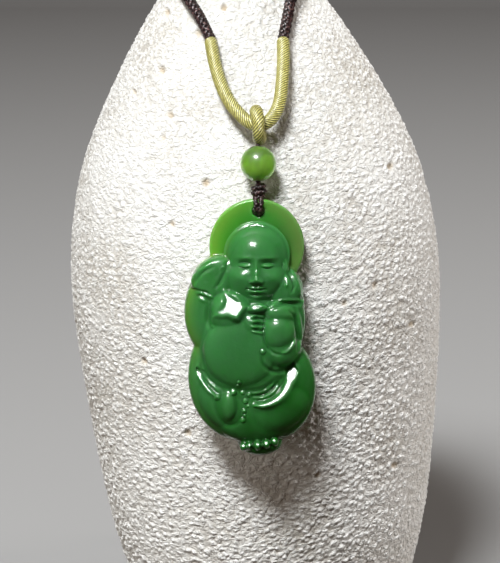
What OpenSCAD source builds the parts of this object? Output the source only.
// Carved jade pendant on a wound silk and braid cord, hung on a leaning plaster display stand.
// Millimetres. Origin at the centre of the stand's flat foot, +Z up, the pendant faces -Y.

/* [Stand] */
// Height of the stand over its foot
stand_h = 193; // [180:1:205]
// Largest radius of the stand
stand_r = 44.9; // [44.9:0.1:45]
// Radius of the stand's neck
stand_neck_r = 10.6; // [9:0.1:11]
// Lean of the stand's axis towards -X, in degrees
stand_lean = 3.4; // [3:0.1:3.6]

/* [Cords] */
// Diameter of the braided neck cord
cord_d = 2.8; // [2:0.1:2.8]
// Diameter of the silk-wound stretch of the neck cord
sleeve_d = 3; // [2.8:0.1:3.1]
// Diameter of the wound ring's own cord
ring_cord_d = 2.8; // [2.4:0.1:2.8]
// Gap between the wound ring and the sleeve that it hangs on
ring_gap = 0.25; // [0.2:0.05:0.3]
// Diameter of the thin braid that carries the pendant
braid_d = 1.1; // [0.8:0.1:1.1]

/* [Bead and knot] */
// Diameter of the round bead
bead_d = 7.9; // [7.5:0.1:8]
// Diameter of the bead's bore
bead_bore_d = 1.7; // [1.6:0.1:2]
// Length of the knot under the bead
knot_l = 3; // [2.6:0.1:3]
// Diameter of the knot
knot_d = 3.3; // [2.8:0.1:3.4]

/* [Pendant] */
// Radius of the halo plate behind the head
halo_r = 10.5; // [10:0.1:11]
// Thickness of the halo plate
halo_t = 3; // [2.6:0.1:3]
// Diameter of the hole for the braid
hole_d = 2.8; // [2.8:0.1:3]
// Depth of the belly, the deepest form, over the flat back
belly_t = 10.6; // [9:0.1:11]
// Lean of the pendant's flat back against the stand, top to the back, in degrees
pendant_lean = 8; // [7:0.5:8]

/* [Hidden] */

// The stand's outline, one row a height: [height along the axis, radius]
stand_rows = [
    [-6, 25],
    [0, 29.5],
    [6, 33],
    [16, 36.2],
    [30, 39.5],
    [45, 41.6],
    [60, 43.2],
    [75, 44.4],
    [90, stand_r],
    [105, 43.5],
    [120, 39.8],
    [135, 33],
    [150, 24.4],
    [162, 16.4],
    [170, 12.4],
    [178, stand_neck_r + 0.4],
    [stand_h - 7, stand_neck_r],
    [stand_h - 2, stand_neck_r - 2.8],
    [stand_h, 0]];
stand_steps = 3;

// Where the sleeve's two ends meet the neck cord
sleeve_left = [-15.5, -24.6, 150.5];
sleeve_right = [0.9, -24.3, 150.5];
// Where the wound ring hangs on the sleeve
ring_seat = [-4.8, -38.9, 133.5];

// The wound stretch's route, a U held off the stand by the bead under it
sleeve_route = [
    sleeve_left,
    [-14.4, -28.5, 145.5],
    [-12.8, -32.2, 141],
    [-10.9, -35.2, 137.8],
    [-9, -37.1, 135.8],
    [-7, -38.4, 134.2],
    ring_seat,
    [-2.6, -38.3, 134.2],
    [-0.9, -36.8, 136],
    [0.1, -34.7, 138.4],
    [0.6, -31.7, 142],
    [0.9, -28.1, 146],
    sleeve_right];

// The neck cord's route: over the left shoulder, down the back, along the surface
// behind the foot, through the closing sleeve and back up to the right shoulder
cord_route = [
    sleeve_left,
    [-18, -20.8, 155],
    [-21, -16.3, 159],
    [-24.5, -9, 163],
    [-26.2, 0, 164.5],
    [-24.5, 9, 163],
    [-21, 16.5, 158.8],
    [-19.5, 23.8, 150.5],
    [-18.9, 33, 136.5],
    [-18.3, 40.6, 118.5],
    [-17.5, 44.9, 96],
    [-17, 46, 70],
    [-17, 46, 42],
    [-17, 46.8, 15],
    [-17, 52, 4.8],
    [-17, 62, 1.9],
    [-17, 77, 1.6],
    [-17, 91, 1.6],
    [-17, 99, 1.7],
    [-14.8, 104.3, 2],
    [-9.5, 106.5, 2.3],
    [-1.5, 106.5, 2.3],
    [3.8, 104.3, 2],
    [6, 99, 1.7],
    [6, 91, 1.6],
    [6, 77, 1.6],
    [6, 62, 1.9],
    [6, 52, 4.8],
    [6, 46.8, 15],
    [6, 46, 42],
    [6, 46, 70],
    [6, 44.9, 96],
    [5.2, 40.6, 118.5],
    [4.1, 33, 136.5],
    [3, 23.9, 150.5],
    [3, 16.8, 158.8],
    [6, 9, 163],
    [7.7, 0, 164.5],
    [6, -9, 163],
    [3, -16.6, 159],
    [1.9, -20.8, 155],
    sleeve_right];
cord_rings = 79;
sleeve_rings = 36;

// The closing sleeve, a plain tube over the middle of the neck cord's hidden stretch
closing_mid = [-5.5, 106.65, 2.35];
closing_l = 7.4;
closing_d = 4.5;
closing_gap = 0.3;

// The wound ring: its own cord's centre line runs on this radius
ring_r = sleeve_d / 2 + ring_gap + ring_cord_d / 2;
// Lean of the line from the ring's centre to the bead's centre, bead forward
ring_lean = 24.9;
// Clearance between neighbours on the drop
fit_gap = 0.15;
bead_drop = ring_r + ring_cord_d / 2 + bead_d / 2 + fit_gap;
bead_at = ring_seat + bead_drop * [0, -sin(ring_lean), -cos(ring_lean)];
// The bead's bore lies between the ring's line and the pendant's line
bore_lean = 15;
// From the bead's centre to the pendant's hole, along the pendant's lean
hole_drop = 10.4;
hole_at = bead_at + hole_drop * [0, -sin(pendant_lean), -cos(pendant_lean)];
knot_top = hole_drop - bead_d / 2 - 0.1;
knot_wraps = 3;

// Two strands of the thin braid lie side by side in the pendant's hole
strand_x = 0.58;
// One strand's route round the halo's rim, one row a point:
// [height over the hole's centre, depth over the flat back]
strand_rows = [
    [4.6, 2.3],
    [3.7, 3.2],
    [2.8, 3.8],
    [1.7, 3.9],
    [0.8, 3.7],
    [0.4, 3.1],
    [0.35, 2.2],
    [0.35, 0.8],
    [0.4, -0.1],
    [0.8, -0.6],
    [1.7, -0.75],
    [2.8, -0.75],
    [3.7, -0.2],
    [4.6, 0.7]];

// The halo's centre under the hole
halo_at = [-0.3, -7.8];
halo_edge = 0.9;

// The carving's broad forms over the flat back, one row a form:
// [x, height over the hole, half width, half height, turn, centre depth, half depth]
carved_forms = [
    // crown of the head
    [-0.3, -9.2, 6.7, 6.7, 0, 2.5, 5.6],
    // cheeks and chin
    [-0.6, -14.2, 6.4, 5.8, 0, 3, 6],
    // left shoulder
    [-7.6, -14.6, 5.4, 4.2, 32, 2, 5],
    // right shoulder
    [4.9, -16.4, 4.9, 4.4, -48, 2, 5.2],
    // left sleeve
    [-9.4, -22.2, 7, 11, 0, 1.4, 4],
    // right sleeve
    [4.6, -23.4, 6, 11.9, 0, 1.8, 5.4],
    // chest
    [-2.2, -22.5, 9, 8.5, 0, 2, 5.8],
    // belly
    [-5.2, -32.6, 7.3, 7, 0, 4, belly_t - 4],
    // sack in the right hand
    [3.8, -26.3, 4.5, 4.6, 0, 4, 6],
    // back of the hand on the sack
    [-1.6, -23.6, 2.8, 4, 0, 4, 5],
    // cuff under the sack
    [4.7, -31.6, 4.5, 3.2, 12, 3, 6.2],
    // left knee
    [-3.7, -36.6, 11.9, 14.9, 0, 1.6, 5],
    // right knee
    [3, -38.9, 9.8, 12.6, 0, 1.6, 6],
    // left shin
    [-8.2, -42.2, 5.4, 7.4, 34, 3, 5.4],
    // right shin
    [3.2, -43.3, 9.6, 5.7, 28, 3, 5.9],
    // hand between the knees
    [-6.3, -42.4, 2.5, 4.3, 0, 5, 4.8],
    // foot
    [0.3, -51, 5.1, 3.1, 0, 2.6, 4.2]];

// Arms and fingers, one row a limb:
// [x from, height from, x to, height to, radius, centre depth]
carved_limbs = [
    // left forearm, from the sleeve to the hand
    [-9.6, -21.6, -3.2, -22, 2.9, 5.4],
    // four fingers on the sack
    [-2.4, -21.6, 0.9, -22.2, 0.75, 9],
    [-2.6, -23.2, 1.1, -23.8, 0.75, 9.2],
    [-2.5, -24.8, 1.1, -25.3, 0.75, 9.2],
    [-2.2, -26.3, 0.8, -26.8, 0.75, 8.9],
    // five toes
    [-3.3, -51.2, -3.4, -52.4, 0.75, 5.4],
    [-1.9, -51, -2.1, -52.3, 0.8, 6],
    [-0.1, -50.8, -0.1, -52.2, 0.85, 6.2],
    [1.8, -50.7, 1.9, -52, 0.85, 6],
    [3.6, -50.6, 3.9, -51.7, 0.85, 5.4]];
form_sides = 28;
limb_sides = 12;
back_cut = 30;

// One point of a smooth curve through the rows of a table, at a row number with a fraction
function row_before(rows, i) = i > 0 ? rows[i - 1] : 2 * rows[0] - rows[1];
function row_after(rows, i) =
    i + 2 < len(rows) ? rows[i + 2] : 2 * rows[len(rows) - 1] - rows[len(rows) - 2];
function span_point(a, b, c, d, u) =
    0.5 * (2 * b + (c - a) * u + (2 * a - 5 * b + 4 * c - d) * pow(u, 2)
    + (3 * b - a - 3 * c + d) * pow(u, 3));
function curve_point(rows, at) =
    let (i = min(floor(at), len(rows) - 2))
    span_point(row_before(rows, i), rows[i], rows[i + 1], row_after(rows, i), at - i);
function curve_points(rows, count) =
    [for (k = [0 : count - 1]) curve_point(rows, k * (len(rows) - 1) / (count - 1))];

// A tube swept along points: each ring keeps the turn of the ring before it
function unit(v) = v / norm(v);
function way(points, i) =
    unit(points[min(i + 1, len(points) - 1)] - points[max(i - 1, 0)]);
function side(points, i, before) =
    let (along = way(points, i))
    unit(before - (before * along) * along);
function sides_along(points, i, before, found) =
    i == len(points) ? found
    : let (now = side(points, i, before)) sides_along(points, i + 1, now, concat(found, [now]));
function ring_at(points, sides, radius, count, i) =
    let (across = cross(way(points, i), sides[i]))
    [for (k = [0 : count - 1])
        points[i] + radius * (cos(360 * k / count) * sides[i] + sin(360 * k / count) * across)];

module swept_tube(points, diameter, count) {
    turns = sides_along(points, 0, [0, 0.3, 1], []);
    last = (len(points) - 1) * count;
    polyhedron(
        points = [for (i = [0 : len(points) - 1])
            each ring_at(points, turns, diameter / 2, count, i)],
        faces = concat(
            [[for (k = [0 : count - 1]) k]],
            [for (i = [0 : len(points) - 2], k = [0 : count - 1], half = [0, 1])
                let (a = i * count + k, b = i * count + (k + 1) % count)
                half == 0 ? [a, b + count, b] : [a, a + count, b + count]],
            [[for (k = [count - 1 : -1 : 0]) last + k]]));
}

module display_stand() {
    outline = curve_points(stand_rows, (len(stand_rows) - 1) * stand_steps + 1);
    foot = stand_rows[0];
    color("whitesmoke")
        intersection() {
            rotate([0, -stand_lean, 0])
                rotate_extrude($fn = 96)
                    polygon(concat([[0, foot[0]]], [for (p = outline) [max(p[1], 0), p[0]]]));
            translate([-2 * stand_r, -2 * stand_r, 0])
                cube([4 * stand_r, 4 * stand_r, stand_h + back_cut]);
        }
}

module neck_cord() {
    color("saddlebrown")
        swept_tube(curve_points(cord_route, cord_rings), cord_d, 8);
}

module cord_sleeve() {
    color("darkkhaki")
        swept_tube(curve_points(sleeve_route, sleeve_rings), sleeve_d, 12);
}

module closing_sleeve() {
    color("saddlebrown")
        translate(closing_mid)
            rotate([0, 90, 0])
                difference() {
                    cylinder(h = closing_l, d = closing_d, center = true, $fn = 48);
                    cylinder(h = closing_l + 2, d = cord_d + 2 * closing_gap, center = true, $fn = 48);
                }
}

module hanging_ring() {
    color("darkkhaki")
        translate(ring_seat)
            rotate([0, 90, 0])
                rotate_extrude($fn = 64)
                    translate([ring_r, 0])
                        circle(d = ring_cord_d, $fn = 32);
}

module bead() {
    color("olivedrab")
        translate(bead_at)
            rotate([-bore_lean, 0, 0])
                difference() {
                    sphere(d = bead_d, $fn = 64);
                    cylinder(h = 2 * bead_d, d = bead_bore_d, center = true, $fn = 32);
                }
}

// Everything fixed to the pendant is drawn round its hole, its back on the plane Y = 0
module at_hole() {
    translate(hole_at)
        rotate([-pendant_lean, 0, 0])
            translate([0, halo_t / 2, 0])
                children();
}

// The braid's stretch through the bead, up to the wound ring
module bead_core() {
    translate(bead_at)
        rotate([-bore_lean, 0, 0])
            translate([0, 0, -bead_d / 2 - 0.5])
                cylinder(h = bead_d + 0.5, d = bead_bore_d - 0.3, $fn = 12);
}

module knot_wrap(height) {
    hull()
        translate([0, -halo_t / 2, height])
            rotate_extrude($fn = 20)
                translate([knot_d / 2 - knot_l / knot_wraps / 2, 0])
                    circle(d = knot_l / knot_wraps * 1.08, $fn = 10);
}

module strand(x) {
    route = curve_points(strand_rows, len(strand_rows) * 2 - 1);
    for (i = [1 : len(route) - 1])
        hull()
            for (p = [route[i - 1], route[i]])
                translate([x, -p[1], p[0]])
                    sphere(d = braid_d, $fn = 8);
}

module pendant_cord() {
    wrap_l = knot_l / knot_wraps;
    color("saddlebrown") {
        bead_core();
        at_hole() {
            for (k = [0 : knot_wraps - 1])
                knot_wrap(knot_top - (k + 0.5) * wrap_l);
            for (x = [-strand_x, strand_x])
                strand(x);
        }
    }
}

// One rounded form that rises out of the flat back
module carved_form(row) {
    hull()
        translate([row[0], -row[5], row[1]])
            rotate([0, -row[4], 0])
                scale([row[2], row[6], row[3]])
                    sphere(r = 1, $fn = form_sides);
}

module carved_limb(row) {
    hull()
        for (p = [[row[0], row[1]], [row[2], row[3]]])
            translate([p[0], -row[5], p[1]])
                sphere(r = row[4], $fn = limb_sides);
}

module halo_plate() {
    translate([halo_at[0], 0, halo_at[1]])
        rotate([90, 0, 0])
            hull() {
                cylinder(h = halo_t / 2, r = halo_r, $fn = 72);
                translate([0, 0, halo_edge / 2])
                    cylinder(h = halo_t - halo_edge / 2, r = halo_r - halo_edge, $fn = 72);
            }
}

module buddha_pendant() {
    color("seagreen")
        at_hole()
            difference() {
                union() {
                    halo_plate();
                    for (row = carved_forms)
                        carved_form(row);
                    for (row = carved_limbs)
                        carved_limb(row);
                }
                translate([-back_cut, 0, -3 * back_cut])
                    cube([2 * back_cut, back_cut, 4 * back_cut]);
                rotate([90, 0, 0])
                    cylinder(h = 6 * halo_t, d = hole_d, center = true, $fn = 24);
            }
}

display_stand();
neck_cord();
cord_sleeve();
closing_sleeve();
hanging_ring();
bead();
pendant_cord();
buddha_pendant();
